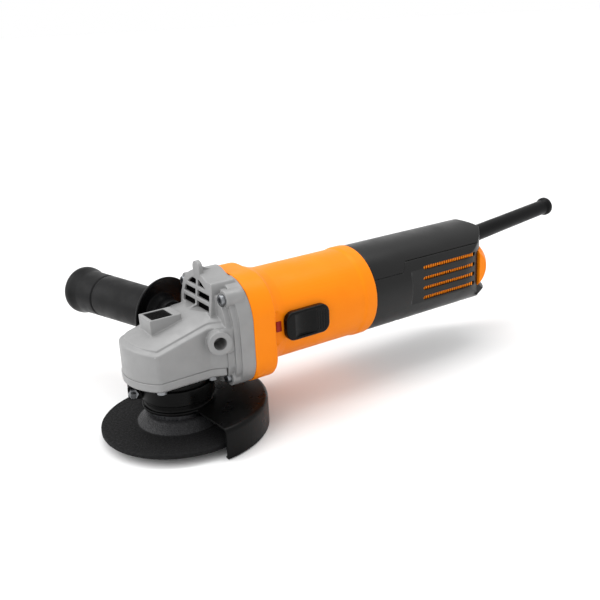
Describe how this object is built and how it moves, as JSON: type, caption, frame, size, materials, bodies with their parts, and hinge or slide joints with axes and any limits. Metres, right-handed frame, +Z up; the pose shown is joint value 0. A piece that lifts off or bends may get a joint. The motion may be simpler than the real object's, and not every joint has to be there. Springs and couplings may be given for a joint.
{
  "type": "angle_grinder",
  "caption": "Compact corded angle grinder with a grey gear head, orange motor housing, black vented tail, wheel guard, grinding disc and side handle",
  "frame": {"origin": "on the spindle axis, at the middle of the free M10 thread under the flange nut", "axes": "+Z up along the spindle axis into the gear head, +X along the motor axis towards the tail, +Y towards the side handle"},
  "size_m": [0.3942, 0.19, 0.1063],
  "materials": {
    "gear_case_metal": "bead_blasted",
    "housing_orange": "satin",
    "tail_black": "satin",
    "black_paint": "satin",
    "steel": "brushed",
    "black_steel": "satin",
    "abrasive": "rough",
    "grip_rubber": "matte",
    "sleeve_rubber": "matte",
    "switch_black": "satin",
    "copper": "polished",
    "laminations": "rough",
    "carbon": "matte",
    "brass_holder": "satin",
    "inner_plastic": "satin"
  },
  "bodies": {
    "housing": {"gear_housing": "gear_case_metal", "bearing_cap": "gear_case_metal", "bearing_cap_screws": "black_steel", "gear_housing_screws": "black_steel", "spindle_bearing_outer": "steel", "spindle_bush": "brass_holder", "spindle_seal": "sleeve_rubber", "fan_baffle": "inner_plastic", "front_bearing_outer": "steel", "rear_bearing_outer": "steel", "rear_bearing_sleeve": "sleeve_rubber", "stator_core": "laminations", "stator_windings": "copper", "stator_screws": "black_steel", "carbon_brushes": "carbon", "brush_holders": "brass_holder", "brush_springs": "steel", "motor_housing": "housing_orange", "switch_body": "inner_plastic", "rear_cover_upper": "tail_black", "rear_cover_lower": "tail_black", "rear_cover_screws": "black_steel", "vent_insert": "housing_orange", "cord_sleeve": "sleeve_rubber", "cord_clamp": "inner_plastic", "cord_clamp_screws": "black_steel", "capacitor": "inner_plastic", "side_handle_grip": "grip_rubber", "side_handle_stud": "steel"},
    "spindle_unit": {"spindle": "steel", "crown_gear": "black_steel", "gear_circlip": "black_steel", "spindle_bearing_inner": "steel", "inner_flange": "black_steel", "grinding_disc": "abrasive", "flange_nut": "black_steel"},
    "rotor": {"armature_shaft": "steel", "pinion": "black_steel", "pinion_nut": "steel", "armature_core": "laminations", "armature_windings": "copper", "commutator": "copper", "cooling_fan": "inner_plastic", "front_bearing_inner": "steel", "rear_bearing_inner": "steel"},
    "lock": {"lock_button": "switch_black", "lock_pin": "steel", "lock_spring": "steel"},
    "switch": {"switch_slider": "switch_black", "switch_rod": "inner_plastic"},
    "guard": {"wheel_guard": "black_paint", "guard_band": "black_paint", "guard_clamp_screw": "black_steel", "guard_clamp_nut": "steel"}
  },
  "joints": [
    {"name": "spindle_spin", "type": "hinge", "parent": "housing", "child": "spindle_unit", "pos_m": [0, 0, 0], "axis": [0, 0, 1], "continuous": true},
    {"name": "rotor_spin", "type": "hinge", "parent": "housing", "child": "rotor", "pos_m": [0, 0, 0.058], "axis": [1, 0, 0], "continuous": true},
    {"name": "lock_press", "type": "slide", "parent": "housing", "child": "lock", "axis": [0, 0, -1], "range_m": [0, 0.0032], "stiffness_N_per_m": 800, "springref_m": -0.002, "deforming": ["lock_spring"]},
    {"name": "switch_slide", "type": "slide", "parent": "housing", "child": "switch", "axis": [-1, 0, 0], "range_m": [0, 0.006]},
    {"name": "guard_turn", "type": "hinge", "parent": "housing", "child": "guard", "pos_m": [0, 0, 0], "axis": [0, 0, 1], "range_deg": [-90, 100]}
  ],
  "couplings": [
    {"joint": "rotor_spin", "follows": "spindle_spin", "ratio": 3.0833}
  ]
}
